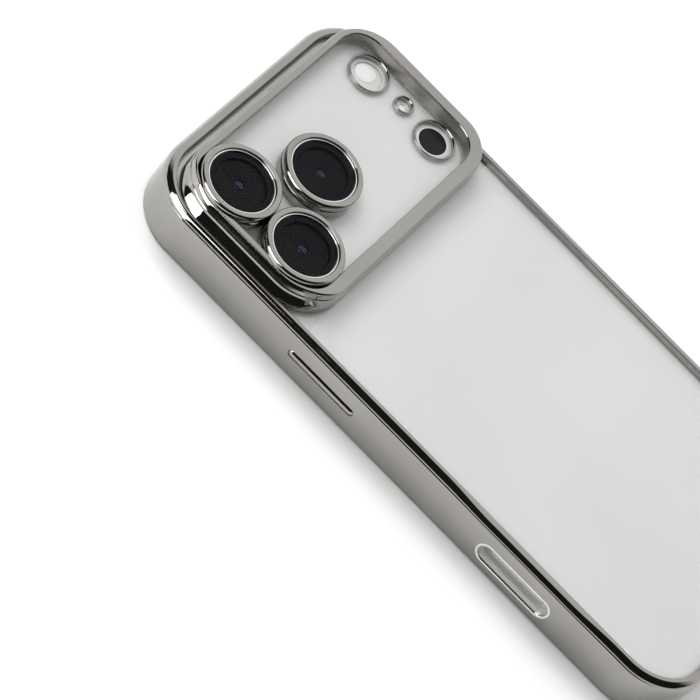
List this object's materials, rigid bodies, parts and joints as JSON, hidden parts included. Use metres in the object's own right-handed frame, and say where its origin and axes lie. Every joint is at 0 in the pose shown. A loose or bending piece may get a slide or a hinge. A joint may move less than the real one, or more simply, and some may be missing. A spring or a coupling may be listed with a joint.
{
  "type": "smartphone in a protective case",
  "caption": "Flat pocket phone with a raised camera block, held in a clear case with a bright plated rim and side buttons.",
  "frame": {"origin": "on the resting plane of the case's front lip, under the centre of the case", "axes": "+Z out of the phone's back, +Y towards its top edge, +X towards the volume buttons"},
  "size_m": [0.076, 0.1534, 0.0172],
  "materials": {
    "case_clear": "gloss clear plastic",
    "case_plated": "bright plated plastic",
    "metal_silver": "fine satin",
    "rear_glass": "matt white glass",
    "cover_glass": "gloss black glass",
    "lens_glass": "gloss coated glass",
    "display": "gloss black",
    "black_seal": "soft",
    "white_inlay": "matt",
    "trim_ring": "satin bright",
    "flash_cover": "diffusing",
    "flash_chip": "phosphor",
    "sensor_black": "gloss",
    "mesh_dark": "fine mesh",
    "steel": "satin",
    "battery_wrap": "matt foil",
    "board": "solder mask",
    "shield_can": "stamped",
    "housing_black": "matt",
    "barrel_black": "matt",
    "sensor_chip": "silicon",
    "copper": "wound copper",
    "magnet": "nickel plated",
    "heavy_metal": "ground",
    "flex": "polyimide",
    "connector_black": "matt"
  },
  "bodies": {
    "phone_in_case": {"case_bumper": "case_plated", "case_back_plate": "case_clear", "case_plateau_window": "case_clear", "case_collar_wide": "case_plated", "case_collar_ultrawide": "case_plated", "case_collar_telephoto": "case_plated", "case_eyelet_flash": "case_plated", "case_eyelet_microphone": "case_plated", "case_eyelet_lidar": "case_plated", "enclosure": "metal_silver", "antenna_bands": "white_inlay", "rear_glass": "rear_glass", "display_cover_glass": "cover_glass", "display_gasket": "black_seal", "display_panel": "display", "lens_trim_wide": "trim_ring", "lens_glass_wide": "lens_glass", "lens_trim_ultrawide": "trim_ring", "lens_glass_ultrawide": "lens_glass", "lens_trim_telephoto": "trim_ring", "lens_glass_telephoto": "lens_glass", "camera_housing": "housing_black", "image_sensors": "sensor_chip", "flash_lens": "flash_cover", "flash_led": "flash_chip", "lidar_window": "sensor_black", "lidar_module": "housing_black", "rear_microphone_mesh": "mesh_dark", "charging_port_shell": "steel", "charging_port_tongue": "connector_black", "bottom_screws": "steel", "sound_hole_meshes": "mesh_dark", "battery": "battery_wrap", "charging_coil": "copper", "magnet_ring": "magnet", "logic_board": "board", "board_shield_front": "shield_can", "board_shield_rear": "shield_can", "front_camera_module": "housing_black", "face_sensor_module": "housing_black", "earpiece_speaker": "housing_black", "loudspeaker": "housing_black", "haptic_housing": "steel", "port_flex": "flex"},
    "power_button_body": {"power_button": "metal_silver"},
    "power_pad_body": {"case_power_pad": "case_plated"},
    "volume_up_button_body": {"volume_up_button": "metal_silver"},
    "volume_up_pad_body": {"case_volume_up_pad": "case_plated"},
    "volume_down_button_body": {"volume_down_button": "metal_silver"},
    "volume_down_pad_body": {"case_volume_down_pad": "case_plated"},
    "action_button_body": {"action_button": "metal_silver"},
    "action_pad_body": {"case_action_pad": "case_plated"},
    "camera_control_body": {"camera_control_button": "metal_silver"},
    "focus_wide_body": {"focus_barrel_wide": "barrel_black", "focus_element_wide": "lens_glass"},
    "focus_ultrawide_body": {"focus_barrel_ultrawide": "barrel_black", "focus_element_ultrawide": "lens_glass"},
    "focus_telephoto_body": {"focus_barrel_telephoto": "barrel_black", "focus_element_telephoto": "lens_glass"},
    "haptic_body": {"haptic_mass": "heavy_metal"}
  },
  "joints": [
    {"name": "power_press", "type": "slide", "parent": "phone_in_case", "child": "power_button_body", "axis": [1, 0, 0], "range_m": [0, 0.0003], "stiffness_N_per_m": 300},
    {"name": "power_pad_press", "type": "slide", "parent": "phone_in_case", "child": "power_pad_body", "axis": [1, 0, 0], "range_m": [0, 0.0003], "stiffness_N_per_m": 300},
    {"name": "volume_up_press", "type": "slide", "parent": "phone_in_case", "child": "volume_up_button_body", "axis": [-1, 0, 0], "range_m": [0, 0.0003], "stiffness_N_per_m": 300},
    {"name": "volume_up_pad_press", "type": "slide", "parent": "phone_in_case", "child": "volume_up_pad_body", "axis": [-1, 0, 0], "range_m": [0, 0.0003], "stiffness_N_per_m": 300},
    {"name": "volume_down_press", "type": "slide", "parent": "phone_in_case", "child": "volume_down_button_body", "axis": [-1, 0, 0], "range_m": [0, 0.0003], "stiffness_N_per_m": 300},
    {"name": "volume_down_pad_press", "type": "slide", "parent": "phone_in_case", "child": "volume_down_pad_body", "axis": [-1, 0, 0], "range_m": [0, 0.0003], "stiffness_N_per_m": 300},
    {"name": "action_press", "type": "slide", "parent": "phone_in_case", "child": "action_button_body", "axis": [-1, 0, 0], "range_m": [0, 0.0003], "stiffness_N_per_m": 300},
    {"name": "action_pad_press", "type": "slide", "parent": "phone_in_case", "child": "action_pad_body", "axis": [-1, 0, 0], "range_m": [0, 0.0003], "stiffness_N_per_m": 300},
    {"name": "camera_control_press", "type": "slide", "parent": "phone_in_case", "child": "camera_control_body", "axis": [1, 0, 0], "range_m": [0, 0.0002], "stiffness_N_per_m": 300},
    {"name": "wide_focus", "type": "slide", "parent": "phone_in_case", "child": "focus_wide_body", "axis": [0, 0, 1], "range_m": [0, 0.0003], "stiffness_N_per_m": 200},
    {"name": "ultrawide_focus", "type": "slide", "parent": "phone_in_case", "child": "focus_ultrawide_body", "axis": [0, 0, 1], "range_m": [0, 0.0003], "stiffness_N_per_m": 200},
    {"name": "telephoto_focus", "type": "slide", "parent": "phone_in_case", "child": "focus_telephoto_body", "axis": [0, 0, 1], "range_m": [0, 0.0003], "stiffness_N_per_m": 200},
    {"name": "haptic_shuttle", "type": "slide", "parent": "phone_in_case", "child": "haptic_body", "axis": [1, 0, 0], "range_m": [-0.001, 0.001], "stiffness_N_per_m": 400}
  ],
  "couplings": [
    {"joint": "power_pad_press", "follows": "power_press", "ratio": 1},
    {"joint": "volume_up_pad_press", "follows": "volume_up_press", "ratio": 1},
    {"joint": "volume_down_pad_press", "follows": "volume_down_press", "ratio": 1},
    {"joint": "action_pad_press", "follows": "action_press", "ratio": 1}
  ]
}
